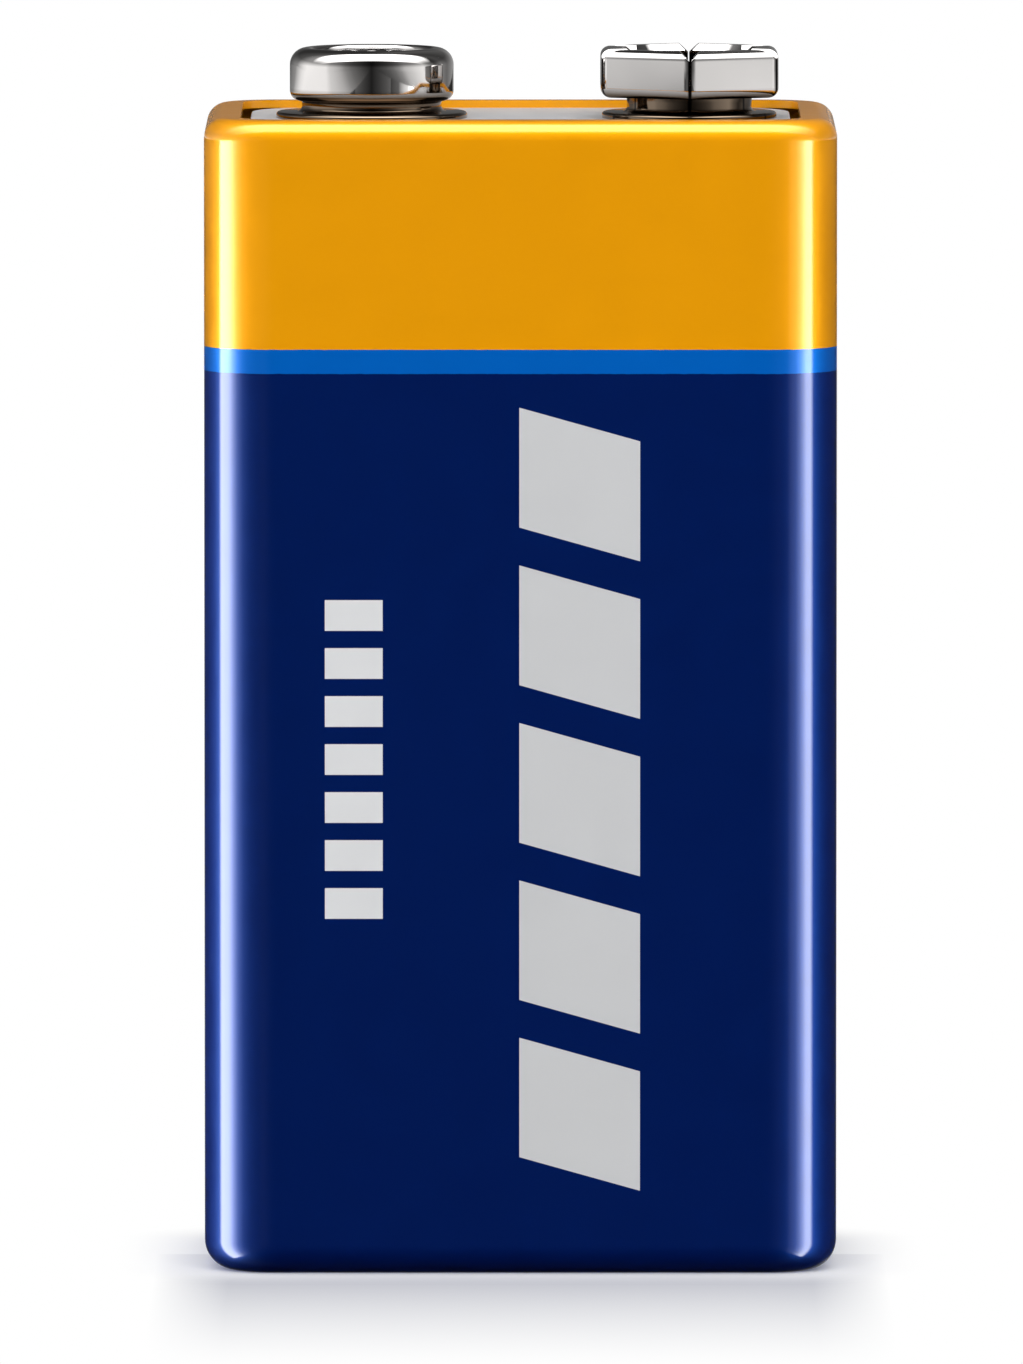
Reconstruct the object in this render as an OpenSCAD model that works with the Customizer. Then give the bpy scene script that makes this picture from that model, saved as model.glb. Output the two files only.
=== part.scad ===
// Nine volt battery. A printed steel jacket is curled over a base plate below and a terminal board
// above, and holds six cylindrical cells in series. Millimetres, +Z up. The origin is the middle of
// the ring that it stands on, and the front face looks along -Y.

/* [Jacket] */
// Width of the body, along the row of terminals
body_w = 25.2; // [24.5:0.1:26.5]
// Depth of the body, front to back
body_d = 16.8; // [15.9:0.1:17.5]
// Height from the resting ring to the top of the rim
jacket_h = 46; // [44:0.1:47]
// Outer radius of the four upright corners
corner_r = 2.8; // [2.5:0.1:3.6]
// Thickness of the jacket's sheet
wall = 0.3; // [0.2:0.05:0.4]
// Outer radius of the curl at the top edge
rim_r = 0.8; // [0.6:0.05:1]
// Reach of the top rim, in from the outer face
rim_reach = 1.45; // [1.3:0.05:1.8]
// Outer radius of the curl at the bottom edge
foot_r = 1.2; // [0.8:0.05:1.4]
// Reach of the ring that it stands on, in from the outer face
foot_reach = 2.2; // [1.9:0.05:2.3]
// Width of the lap seam's groove, down the back
seam_w = 0.15; // [0.1:0.05:0.3]
// Depth of the lap seam's groove
seam_deep = 0.1; // [0.05:0.05:0.15]

/* [Print] */
// Height of the orange band, down from the top of the rim
top_band_h = 9.08; // [6:0.02:14]
// Height of the light blue stripe under it
stripe_h = 0.96; // [0.5:0.02:2]

/* [Ends] */
// Thickness of the base plate
base_t = 0.8; // [0.6:0.1:1.2]
// Thickness of the two insulating cards
card_t = 0.3; // [0.2:0.05:0.5]
// Thickness of the terminal board
board_t = 0.8; // [0.6:0.1:1.2]
// Corner radius of the terminal board
board_r = 3.2; // [2.8:0.1:4]
// Gap that shows between the board's ends and the rim
board_gap = 0.35; // [0.1:0.05:0.5]
// Thickness of the tray's floor, under the board
tray_t = 1.2; // [0.8:0.1:1.6]
// Thickness of the tray's skirt
skirt_t = 0.8; // [0.6:0.1:1.2]
// Diameter of the two wells in the tray
well_d = 6.4; // [6:0.1:7]
// Room under the tray's floor for the folded strips
head_room = 1.9; // [1.2:0.1:2.5]

/* [Terminals] */
// Distance between the terminals' centres
terminal_pitch = 12.7; // [12.4:0.05:12.9]
// How far the middle of the two terminals lies to the right of the body's middle
terminal_shift = 0.4; // [0:0.05:0.6]
// Thickness of the terminals' sheet
shell_t = 0.25; // [0.2:0.01:0.3]
// Height of the terminals over the board
terminal_h = 2.8; // [2.6:0.05:3]
// Diameter of the stud's cap
stud_d = 6.55; // [6.3:0.05:7]
// Diameter of the stud's neck
stud_neck_d = 5.6; // [5.2:0.05:5.7]
// Diameter of the stud's base flange
stud_flange_d = 7.65; // [7.3:0.05:8]
// Height of the stud's neck, up to the underside of its cap
stud_neck_h = 0.68; // [0.4:0.02:0.8]
// Radius under the stud's cap
stud_under_r = 0.42; // [0.3:0.01:0.45]
// Diameter of the dish in the stud's top
dish_d = 4.75; // [4.4:0.05:5.1]
// Depth of that dish
dish_deep = 0.9; // [0.7:0.05:1.2]
// Width of the socket across its flats
socket_af = 7.1; // [7:0.02:7.6]
// Radius of the socket's six upright edges
socket_edge_r = 0.5; // [0.42:0.02:0.6]
// Radius where the socket's petals turn in at the top
petal_r = 0.4; // [0.3:0.02:0.42]
// Height of the socket's neck, up to the underside of its petals
socket_neck_h = 0.88; // [0.6:0.02:1]
// Diameter of the socket's neck
socket_neck_d = 5; // [4.8:0.05:5.5]
// Diameter of the socket's base flange
socket_flange_d = 7; // [6.8:0.05:7.6]
// Diameter of the socket's mouth
mouth_d = 5.3; // [5:0.05:5.6]
// Width of the slits between the petals
slit_w = 0.16; // [0.1:0.02:0.4]
// Distance from the socket's axis to the foot of the slits, under the petals
relief_r = 2.95; // [2.8:0.05:3.05]
// Width of the notch at the top of each slit
notch_w = 0.8; // [0.6:0.05:1]

/* [Eyelets] */
// Outer diameter of the eyelets' barrels
barrel_d = 2.1; // [1.8:0.1:2.4]
// Bore of the eyelets
eyelet_bore = 1; // [0.8:0.1:1.2]
// Diameter of the eyelets' heads
head_d = 2.9; // [2.7:0.1:3.2]
// How far the stud's eyelet stays below the stud's top
head_below = 0.1; // [0.05:0.05:0.3]
// Height of the socket's eyelet head, over the socket's floor
low_head_h = 0.4; // [0.3:0.05:0.6]
// Diameter of the flare at each eyelet's tail
flare_d = 3.1; // [2.8:0.1:3.4]
// Height of that flare
flare_h = 0.3; // [0.2:0.05:0.4]

/* [Cells] */
// Thickness of the film wrapped round the six cells
wrap_t = 0.12; // [0.08:0.02:0.2]
// Clearance between neighbouring cells, and between the cells and their wrap
cell_gap = 0.04; // [0.02:0.01:0.1]
// Thickness of a cell's can
can_t = 0.2; // [0.15:0.01:0.25]
// Radius at the closed end of a can
can_r = 0.6; // [0.4:0.05:0.8]
// Diameter of a cell's positive nub
nub_d = 3.4; // [3:0.1:3.8]
// Height of that nub
nub_h = 0.6; // [0.4:0.05:0.8]
// Reach of the can's crimp, in from its outer face
crimp_reach = 1.1; // [0.9:0.05:1.3]
// How far the negative cap stands out of the crimp
cap_proud = 0.3; // [0.2:0.05:0.5]
// Thickness of the negative cap
cap_t = 0.2; // [0.15:0.01:0.25]
// Thickness of the seal's rim
seal_t = 0.3; // [0.25:0.01:0.4]
// Thickness of the seal's web
web_t = 0.6; // [0.4:0.05:0.8]
// Room between the negative cap's rim and the seal's web
vent_room = 1.2; // [0.8:0.1:1.6]
// Diameter of the seal's boss, round the pin
boss_d = 2.4; // [2:0.1:2.8]
// Thickness of the cathode ring
cathode_t = 1.1; // [0.9:0.05:1.3]
// Thickness of the separator
separator_t = 0.15; // [0.1:0.01:0.2]
// Diameter of the current collector pin
pin_d = 1; // [0.8:0.1:1.2]
// Diameter of the pin's head
pin_head_d = 1.8; // [1.6:0.1:2]
// Height of the pin's head
pin_head_h = 0.3; // [0.2:0.05:0.4]
// Distance from the pin's tip to the closed end of the separator
pin_short = 9; // [4:0.5:16]

/* [Strips] */
// Thickness of the links and strips
link_t = 0.15; // [0.1:0.01:0.2]
// Width of the links between cells
link_w = 3; // [2.4:0.1:3.4]
// Width of the strips up to the terminals
strip_w = 3.4; // [3.1:0.1:3.6]
// Least gap between a strip and the wall of the well that it rises through
strip_gap = 0.3; // [0.1:0.05:0.5]
// Inner radius of the strips' folds
fold_r = 0.4; // [0.2:0.05:0.6]

/* [Hidden] */
$fn = 96;
fit = 0.05;  // clearance of what slides into the jacket, and of barrels in their holes
cut = 1;  // how far a cutter runs past the face that it opens

CELLS = [1:6];

// Distances between the centres of the upright corners
core = [body_w - 2 * corner_r, body_d - 2 * corner_r];

// The stack, from the ring that it stands on up to the terminals
card_z = wall + base_t;
link_z = card_z + card_t;
cell_z = link_z + link_t;
board_z = jacket_h - wall;
tray_z = board_z - board_t;
cell_top = tray_z - tray_t - head_room - card_t - link_t;
cell_l = cell_top - cell_z;

// The space inside the wrap, which the cells share
nest = [body_w, body_d] - 2 * (wall + fit + wrap_t) * [1, 1];
cell_d = min(nest[0] / 3, nest[1] / 2) - cell_gap;
cell_r = cell_d / 2;
cell_pitch = [nest[0] / 2 - cell_gap / 2 - cell_r, nest[1] / 2 - cell_gap / 2 - cell_r];

// Column, row and direction of each cell: 1 has its positive end up, -1 down
CELL_PLACES = [[-1, 1, 1], [-1, -1, -1], [0, -1, 1], [0, 1, -1], [1, 1, 1], [1, -1, -1]];
function cell_at(n) = [CELL_PLACES[n - 1][0] * cell_pitch[0], CELL_PLACES[n - 1][1] * cell_pitch[1]];

// Inside a cell, up from the face of its negative cap
rim_z = cap_proud + can_t + seal_t;
web_z = rim_z + cap_t + vent_room;
fill_z = web_z + web_t;
lid_z = cell_l - nub_h;
fill_top = lid_z - can_t;
separator_r = cell_r - can_t - cathode_t;
anode_r = separator_r - separator_t;

// The terminals: side -1 is the stud's, 1 is the socket's
function terminal_x(side) = terminal_shift + side * terminal_pitch / 2;

// A strip's way, from the cell that it is welded to and on to its terminal. It rises midway, or
// nearer the terminal where its corners would come within strip_gap of the well's wall
riser_reach = sqrt(pow(well_d / 2 - strip_gap, 2) - pow(strip_w / 2, 2));
function strip_from(side) = cell_at(side < 0 ? 1 : 6);
function strip_way(side) = [terminal_x(side), 0] - strip_from(side);
function riser_s(side) = max(norm(strip_way(side)) / 2 - link_t / 2, norm(strip_way(side)) - riser_reach);

// A rectangle, with its own radius at each corner in this order: inner bottom, outer bottom, outer
// top, inner top
module bar(x, z, r = [0, 0, 0, 0]) {
    corners = [[x[0], z[0], 1, 1], [x[1], z[0], -1, 1], [x[1], z[1], -1, -1], [x[0], z[1], 1, -1]];
    polygon([for (i = [0:3], s = r[i] > 0 ? [0, 1] : [0]) let (c = corners[i])
        (i + s) % 2 == 1 ? [c[0] + c[2] * r[i], c[1]] : [c[0], c[1] + c[3] * r[i]]]);
    for (i = [0:3]) if (r[i] > 0) let (c = corners[i], centre = [c[0] + c[2] * r[i], c[1] + c[3] * r[i]])
        intersection() {
            translate(centre) circle(r = r[i]);
            translate([min(c[0], centre[0]), min(c[1], centre[1])]) square(r[i]);
        }
}

// A flat plate with rounded corners, in the middle of the body
module plate(size, r, z, t) {
    translate([0, 0, z]) linear_extrude(height = t)
        bar([-size[0] / 2, size[0] / 2], [-size[1] / 2, size[1] / 2], [r, r, r, r]);
}

// A plate that follows the body's outline, set in from the outer face
module inner_plate(inset, z, t) {
    plate([body_w - 2 * inset, body_d - 2 * inset], corner_r - inset, z, t);
}

// One section swept round four or six sides: away is each side's distance from the middle, along
// is each side's length, and the section's x runs outwards from there
module sweep(turns, away, along) {
    for (k = [0:turns - 1]) rotate(360 / turns * k) translate([away[k % 2], along[k % 2] / 2]) {
        rotate_extrude(angle = 360 / turns) children();
        rotate([90, 0, 0]) linear_extrude(height = along[k % 2]) children();
    }
}

// The same round the body's outline, where x = corner_r is the outer face
module around_body() {
    sweep(4, core / 2, [core[1], core[0]]) children();
}

// A ring of revolution round a cell's own axis
module ring(inner_r, outer_r, z, t) {
    rotate_extrude() bar([inner_r, outer_r], [z, z + t]);
}

// Jacket: one sheet, wrapped round, lapped down the back and curled in at both ends
module jacket_section() {
    difference() {
        bar([0, corner_r], [0, jacket_h], [0, foot_r, rim_r, 0]);
        bar([-cut, corner_r - wall], [wall, jacket_h - wall], [0, foot_r - wall, rim_r - wall, 0]);
        bar([-cut, corner_r - foot_reach], [-cut, 2 * wall]);
        bar([-cut, corner_r - rim_reach], [jacket_h - 2 * wall, jacket_h + cut]);
    }
}

module jacket_band(z0, z1) {
    difference() {
        around_body() intersection() {
            jacket_section();
            bar([0, corner_r], [z0, z1]);
        }
        translate([-seam_w / 2, body_d / 2 - seam_deep, foot_r])
            cube([seam_w, seam_deep + cut, jacket_h - foot_r - rim_r]);
    }
}

module jacket() {
    stripe_top = jacket_h - top_band_h;
    color("orange") jacket_band(stripe_top, jacket_h);
    color("dodgerblue") jacket_band(stripe_top - stripe_h, stripe_top);
    color("midnightblue") jacket_band(0, stripe_top - stripe_h);
}

// Base plate: rests on the bottom ring, its edge bevelled to nest in the curl
module base_plate() {
    edge = corner_r - wall - fit;
    bevel = foot_r - wall;
    color("silver") {
        around_body() difference() {
            bar([0, edge], [wall, card_z]);
            translate([edge - bevel, wall - fit])
                polygon([[0, 0], [bevel + cut, 0], [bevel + cut, bevel + cut]]);
        }
        translate([-core[0] / 2, -core[1] / 2, wall]) cube([core[0], core[1], base_t]);
    }
}

module bottom_card() {
    color("tan") inner_plate(wall + fit, card_z, card_t);
}

module cell_wrap() {
    color("lightgrey") around_body()
        bar([corner_r - wall - fit - wrap_t, corner_r - wall - fit], [link_z, cell_top + link_t]);
}

// A strip's own frame: the welded pad at the origin, the terminal along +X
module along_strip(side) {
    way = strip_way(side);
    translate([strip_from(side)[0], strip_from(side)[1], 0]) rotate(atan2(way[1], way[0])) children();
}

// Top card: slotted for the two strips
module top_card() {
    slot = [2 * fold_r + 4 * link_t + 2 * fit, strip_w + 4 * link_t];
    color("tan") difference() {
        inner_plate(wall + fit, cell_top + link_t, card_t);
        for (side = [-1, 1]) along_strip(side)
            translate([riser_s(side) + link_t / 2 - slot[0] / 2, -slot[1] / 2, cell_top])
                cube([slot[0], slot[1], card_t + cut]);
    }
}

// Top tray: a moulded floor under the board, a skirt that stands on the card, two wells for the
// strips, and a rib at each end that rises from the floor to the underside of the rim
module top_tray() {
    inset = wall + fit;
    floor_z = tray_z - tray_t;
    rib_x = [body_w / 2 - rim_reach + fit, body_w / 2 - inset];
    color([0.09, 0.09, 0.1]) {
        difference() {
            inner_plate(inset, floor_z - head_room, head_room + tray_t);
            inner_plate(inset + skirt_t, floor_z - head_room - cut, head_room + cut);
            for (side = [-1, 1]) translate([terminal_x(side), 0, floor_z - cut])
                cylinder(d = well_d, h = tray_t + 2 * cut);
        }
        for (side = [0, 180]) rotate(side) translate([0, core[1] / 2, 0]) rotate([90, 0, 0])
            linear_extrude(height = core[1]) bar(rib_x, [floor_z, board_z], [0, 0, rim_r - wall, 0]);
    }
}

// Terminal board: held under the rim at front and back, with rounder corners than the opening
module terminal_board() {
    size = [body_w - 2 * (rim_reach + board_gap), body_d - 2 * (rim_r + fit)];
    color("darkgrey") difference() {
        plate(size, board_r, tray_z, board_t);
        for (side = [-1, 1]) translate([terminal_x(side), 0, tray_z - cut])
            cylinder(d = barrel_d + 2 * fit, h = board_t + 2 * cut);
    }
}

// A terminal's own frame: up from the board's face
module at_terminal(side) {
    translate([terminal_x(side), 0, board_z]) children();
}

// Positive stud: a drawn shell that is open below, rolled over at the top and dished for its eyelet
module positive_stud() {
    cap_r = stud_d / 2;
    neck_r = stud_neck_d / 2;
    roll_r = (stud_d - dish_d) / 4;
    roll_z = terminal_h - roll_r;
    dish_z = terminal_h - dish_deep - shell_t;
    color("silver") at_terminal(-1) rotate_extrude() {
        bar([neck_r - shell_t, stud_flange_d / 2], [0, shell_t], [0, 0, shell_t / 2, 0]);
        bar([neck_r - shell_t, neck_r], [0, stud_neck_h + shell_t]);
        difference() {
            bar([neck_r - shell_t, cap_r], [stud_neck_h, roll_z], [0, stud_under_r, 0, 0]);
            bar([0, cap_r - shell_t], [stud_neck_h + shell_t, roll_z + cut],
                [0, stud_under_r - shell_t, 0, 0]);
        }
        difference() {
            translate([cap_r - roll_r, roll_z]) circle(r = roll_r);
            translate([cap_r - roll_r, roll_z]) circle(r = roll_r - shell_t);
            bar([0, cap_r + cut], [0, roll_z]);
        }
        difference() {
            bar([barrel_d / 2 + fit, dish_d / 2 + shell_t], [dish_z, roll_z], [0, 2 * shell_t, 0, 0]);
            bar([0, dish_d / 2], [dish_z + shell_t, roll_z + cut], [0, shell_t, 0, 0]);
        }
    }
}

// Half of one petal, from the middle of its flat to its upright edge: the sheet comes out from the
// neck, turns up, and turns in again at the top
module half_petal() {
    away = socket_af / 2 - socket_edge_r;
    bend = petal_r - shell_t;
    module section(x0) {
        difference() {
            bar([x0, socket_edge_r], [socket_neck_h, terminal_h], [0, petal_r, petal_r, 0]);
            bar([x0 - cut, socket_edge_r - shell_t], [socket_neck_h + shell_t, terminal_h - shell_t],
                [0, bend, bend, 0]);
        }
    }
    translate([away, away * tan(30)]) {
        rotate_extrude(angle = 30) section(0);
        rotate([90, 0, 0]) linear_extrude(height = away * tan(30)) section(-away / 2);
    }
}

// One petal, facing +X, with half of a slit and half of a notch at each of its two edges
module petal() {
    reach = socket_af;
    difference() {
        intersection() {
            union() {
                half_petal();
                mirror([0, 1, 0]) half_petal();
            }
            linear_extrude(height = terminal_h + cut)
                translate([slit_w, 0])
                    polygon([[0, 0], [reach * cos(30), -reach / 2], [reach * cos(30), reach / 2]]);
        }
        cylinder(d = mouth_d, h = terminal_h + cut);
        for (edge = [-30, 30]) rotate(edge) translate([0, 0, terminal_h]) rotate([45, 0, 0])
            translate([0, -notch_w / sqrt(8), -notch_w / sqrt(8)])
                cube([reach, notch_w / sqrt(2), notch_w / sqrt(2)]);
    }
}

// Negative socket: six petals on a round neck, turned in at the top round the mouth
module negative_socket() {
    neck_r = socket_neck_d / 2;
    color("gainsboro") at_terminal(1) {
        rotate_extrude() {
            bar([barrel_d / 2 + fit, socket_flange_d / 2], [0, shell_t], [0, 0, shell_t / 2, 0]);
            bar([neck_r - shell_t, neck_r], [0, socket_neck_h + shell_t]);
            bar([neck_r - shell_t, relief_r], [socket_neck_h, socket_neck_h + shell_t]);
        }
        for (k = [0:5]) rotate(60 * k) petal();
    }
}

// An eyelet: a rolled head on its seat, a barrel through the board, and a flare under the strip
module eyelet(side, seat_z, head_h) {
    tail_z = -board_t - link_t;
    round_r = min(head_h, (head_d - eyelet_bore) / 2) * 0.45;
    color("lightgrey") at_terminal(side) rotate_extrude() {
        bar([eyelet_bore / 2, head_d / 2], [seat_z, seat_z + head_h], [0, 0, round_r, round_r]);
        bar([eyelet_bore / 2, barrel_d / 2], [tail_z - flare_h, seat_z]);
        bar([eyelet_bore / 2, flare_d / 2], [tail_z - flare_h, tail_z], [0, flare_h / 2, 0, 0]);
    }
}

module positive_eyelet() {
    eyelet(-1, terminal_h - dish_deep, dish_deep - head_below);
}

module negative_eyelet() {
    eyelet(1, shell_t, low_head_h);
}

// A strip: welded flat on a cell, folded up, and folded over again under the board
module strip(side) {
    z0 = cell_top;
    z1 = tray_z;
    middle = (z0 + z1) / 2;
    reach = strip_w / 2;
    rise = riser_s(side);
    strip_l = norm(strip_way(side));
    end = strip_l + reach;
    outer_r = fold_r + link_t;
    color("silver") along_strip(side) difference() {
        intersection() {
            translate([0, reach, 0]) rotate([90, 0, 0]) linear_extrude(height = strip_w) {
                difference() {
                    bar([-reach, rise + link_t], [z0, middle], [0, outer_r, 0, 0]);
                    bar([-reach - cut, rise], [z0 + link_t, middle + cut], [0, fold_r, 0, 0]);
                }
                difference() {
                    bar([rise, end], [middle, z1], [0, 0, 0, outer_r]);
                    bar([rise + link_t, end + cut], [middle - cut, z1 - link_t], [0, 0, 0, fold_r]);
                }
            }
            translate([0, 0, z0 - cut]) linear_extrude(height = z1 - z0 + 2 * cut)
                stadium(strip_l, strip_w);
        }
        translate([strip_l, 0, z1 - cut]) cylinder(d = barrel_d + 2 * fit, h = 2 * cut);
    }
}

module positive_strip() {
    strip(-1);
}

module negative_strip() {
    strip(1);
}

// A flat shape with round ends, from the origin to x = l
module stadium(l, w) {
    for (x = [0, l]) translate([x, 0]) circle(d = w);
    translate([0, -w / 2]) square([l, w]);
}

// A link: one flat strip from cell a to cell b, at the bottom or on top of them
module link(a, b, z) {
    way = cell_at(b) - cell_at(a);
    color("silver") translate([cell_at(a)[0], cell_at(a)[1], z]) rotate(atan2(way[1], way[0]))
        linear_extrude(height = link_t) stadium(norm(way), link_w);
}

module link_1_2() {
    link(1, 2, link_z);
}

module link_2_3() {
    link(2, 3, cell_top);
}

module link_3_4() {
    link(3, 4, link_z);
}

module link_4_5() {
    link(4, 5, cell_top);
}

module link_5_6() {
    link(5, 6, link_z);
}

// A cell's own frame: up from the face of its negative cap, turned over where the cell is
module at_cell(n) {
    up = CELL_PLACES[n - 1][2] > 0;
    translate([cell_at(n)[0], cell_at(n)[1], up ? cell_z : cell_top])
        rotate([up ? 0 : 180, 0, 0]) children();
}

// Can: a drawn steel cup, its closed end pressed out into the nub and its edge crimped on the seal
module can() {
    bend = can_r / 2;
    color("steelblue") rotate_extrude() difference() {
        union() {
            bar([0, cell_r], [cap_proud, lid_z], [0, bend + can_t, can_r, 0]);
            bar([0, nub_d / 2], [lid_z - can_t, cell_l], [0, 0, can_t, 0]);
        }
        bar([-cut, cell_r - can_t], [cap_proud + can_t, fill_top], [0, bend, can_r - can_t, 0]);
        bar([-cut, nub_d / 2 - can_t], [fill_top - can_t, cell_l - can_t]);
        bar([-cut, cell_r - crimp_reach], [0, rim_z]);
    }
}

// Cathode: a pressed ring that fills the can's wall
module cathode() {
    color([0.13, 0.13, 0.14]) rotate_extrude()
        bar([separator_r, cell_r - can_t], [fill_z, fill_top], [0, 0, can_r - can_t, 0]);
}

// Separator: a paper cup, its closed end against the can's
module separator() {
    color("ivory") {
        ring(anode_r, separator_r, fill_z, fill_top - fill_z);
        translate([0, 0, fill_top - separator_t]) cylinder(r = anode_r, h = separator_t);
    }
}

// Anode: the gel inside the separator, round the pin
module anode() {
    gel_top = fill_top - separator_t;
    color("slategrey") difference() {
        translate([0, 0, fill_z]) cylinder(r = anode_r, h = gel_top - fill_z);
        translate([0, 0, fill_z - cut]) cylinder(d = pin_d, h = gel_top - pin_short - fill_z + cut);
    }
}

// Pin: the brass current collector, its head welded inside the negative cap
module pin() {
    color("goldenrod") rotate_extrude() {
        bar([0, pin_head_d / 2], [cap_t, cap_t + pin_head_h]);
        bar([0, pin_d / 2], [cap_t, fill_top - separator_t - pin_short]);
    }
}

// Seal: a moulded grommet, with a rim under the crimp, a thin web and a boss round the pin
module seal() {
    outer = cell_r - can_t;
    bend = can_r / 2;
    color("whitesmoke") rotate_extrude() difference() {
        bar([pin_d / 2, outer], [cap_proud + can_t, fill_z], [0, bend, 0, 0]);
        bar([boss_d / 2, outer - seal_t], [rim_z, web_z]);
        bar([0, boss_d / 2], [0, web_z - web_t]);
        bar([0, cell_r - crimp_reach], [0, rim_z]);
    }
}

// Cap: the dished negative contact, its rim held by the seal
module cap() {
    face_r = cell_r - crimp_reach - seal_t / 2;
    rim_r_out = cell_r - can_t - seal_t;
    color("silver") rotate_extrude() difference() {
        union() {
            bar([0, face_r], [0, rim_z + cap_t], [0, cap_t, 0, 0]);
            bar([0, rim_r_out], [rim_z, rim_z + cap_t]);
        }
        bar([-cut, face_r - cap_t], [cap_t, rim_z + cap_t + cut]);
    }
}

jacket();
base_plate();
bottom_card();
cell_wrap();
top_card();
top_tray();
terminal_board();
positive_stud();
negative_socket();
positive_eyelet();
negative_eyelet();
positive_strip();
negative_strip();
link_1_2();
link_2_3();
link_3_4();
link_4_5();
link_5_6();
for (n = CELLS) {
    at_cell(n) can();
    at_cell(n) cathode();
    at_cell(n) separator();
    at_cell(n) anode();
    at_cell(n) pin();
    at_cell(n) seal();
    at_cell(n) cap();
}
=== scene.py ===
import math
import bpy
import bmesh
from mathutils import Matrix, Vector


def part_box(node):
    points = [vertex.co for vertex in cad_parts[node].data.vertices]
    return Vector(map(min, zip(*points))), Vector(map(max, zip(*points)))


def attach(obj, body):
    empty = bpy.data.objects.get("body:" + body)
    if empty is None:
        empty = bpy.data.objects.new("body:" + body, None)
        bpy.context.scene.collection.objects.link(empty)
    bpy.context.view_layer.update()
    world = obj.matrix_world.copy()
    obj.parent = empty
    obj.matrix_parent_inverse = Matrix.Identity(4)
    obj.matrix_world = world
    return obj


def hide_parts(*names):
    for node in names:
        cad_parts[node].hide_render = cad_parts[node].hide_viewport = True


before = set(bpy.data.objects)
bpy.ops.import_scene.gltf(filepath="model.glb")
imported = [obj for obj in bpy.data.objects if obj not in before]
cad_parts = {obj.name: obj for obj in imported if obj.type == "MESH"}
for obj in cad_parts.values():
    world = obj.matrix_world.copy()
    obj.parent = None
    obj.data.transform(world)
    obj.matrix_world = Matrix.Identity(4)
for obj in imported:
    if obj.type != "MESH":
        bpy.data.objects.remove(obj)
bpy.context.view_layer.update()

print("frame loaded:", len(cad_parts), "nodes")

mm = 0.001

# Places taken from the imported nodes, in millimetres
jacketLow, jacketHigh = [[v / mm for v in corner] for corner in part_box("jacket")]
boardLow, boardHigh = [[v / mm for v in corner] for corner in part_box("terminal_board")]
studLow, studHigh = [[v / mm for v in corner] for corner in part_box("positive_stud")]
socketLow, socketHigh = [[v / mm for v in corner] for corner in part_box("negative_socket")]
boardTop = boardHigh[2]
studX = (studLow[0] + studHigh[0]) / 2
socketX = (socketLow[0] + socketHigh[0]) / 2


# Modelling, all of it by operators on what is selected

def clearSelection():
    if bpy.context.object and bpy.context.object.mode != "OBJECT":
        bpy.ops.object.mode_set(mode="OBJECT")
    bpy.ops.object.select_all(action="DESELECT")


def pick(test, kind="FACE"):
    # selects the faces, edges or vertices of the piece in edit mode that pass the test
    bpy.ops.mesh.select_mode(type=kind)
    bpy.ops.mesh.select_all(action="DESELECT")
    mesh = bmesh.from_edit_mesh(bpy.context.object.data)
    parts = {"FACE": mesh.faces, "EDGE": mesh.edges, "VERT": mesh.verts}[kind]
    for part in parts:
        if test(part):
            part.select_set(True)
    mesh.select_flush_mode()
    bmesh.update_edit_mesh(bpy.context.object.data)


def edgeMiddle(edge):
    return (edge.verts[0].co + edge.verts[1].co) / 2 / mm


def isUpright(edge):
    run = edge.verts[1].co - edge.verts[0].co
    return abs(run.z) > 0.99 * run.length


def block(name, low, high):
    # a cube between two corners, its place in its mesh, left in edit mode
    clearSelection()
    middle = [(a + b) / 2 * mm for a, b in zip(low, high)]
    bpy.ops.mesh.primitive_cube_add(size=1, location=middle)
    piece = bpy.context.object
    piece.name = piece.data.name = name
    piece.scale = [(b - a) * mm for a, b in zip(low, high)]
    bpy.ops.object.transform_apply(location=True, rotation=True, scale=True)
    bpy.ops.object.mode_set(mode="EDIT")
    return piece


def applyAll(piece):
    clearSelection()
    piece.select_set(True)
    bpy.context.view_layer.objects.active = piece
    for modifier in list(piece.modifiers):
        bpy.ops.object.modifier_apply(modifier=modifier.name)


def addModifier(piece, kind, **values):
    modifier = piece.modifiers.new(kind.title(), kind)
    for key, value in values.items():
        setattr(modifier, key, value)
    return modifier


def carve(piece, cutter, operation="DIFFERENCE"):
    addModifier(piece, "BOOLEAN", object=cutter, operation=operation, solver="EXACT")
    applyAll(piece)
    bpy.data.objects.remove(cutter)


def finishPiece(piece, material, smooth=30, replaces=()):
    clearSelection()
    piece.select_set(True)
    bpy.context.view_layer.objects.active = piece
    bpy.ops.object.mode_set(mode="EDIT")
    bpy.ops.mesh.select_all(action="SELECT")
    bpy.ops.mesh.remove_doubles(threshold=0.0005 * mm)
    bpy.ops.mesh.select_all(action="SELECT")
    bpy.ops.mesh.normals_make_consistent(inside=False)
    bpy.ops.object.mode_set(mode="OBJECT")
    bpy.ops.object.transform_apply(location=True, rotation=True, scale=True)
    bpy.ops.object.shade_smooth_by_angle(angle=math.radians(smooth))
    addModifier(piece, "WEIGHTED_NORMAL", keep_sharp=True, weight=100)    # keeps the flats flat beside their bevels
    applyAll(piece)
    piece.data.materials.clear()
    piece.data.materials.append(material)
    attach(piece, "root")
    if replaces:
        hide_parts(*replaces)
    clearSelection()


def arc(middle, radius, start, end, steps=8):
    # points on an arc of a profile, from one angle to another in degrees
    turns = [math.radians(start + (end - start) * i / steps) for i in range(steps + 1)]
    return [(middle[0] + radius * math.cos(t), middle[1] + radius * math.sin(t)) for t in turns]


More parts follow.
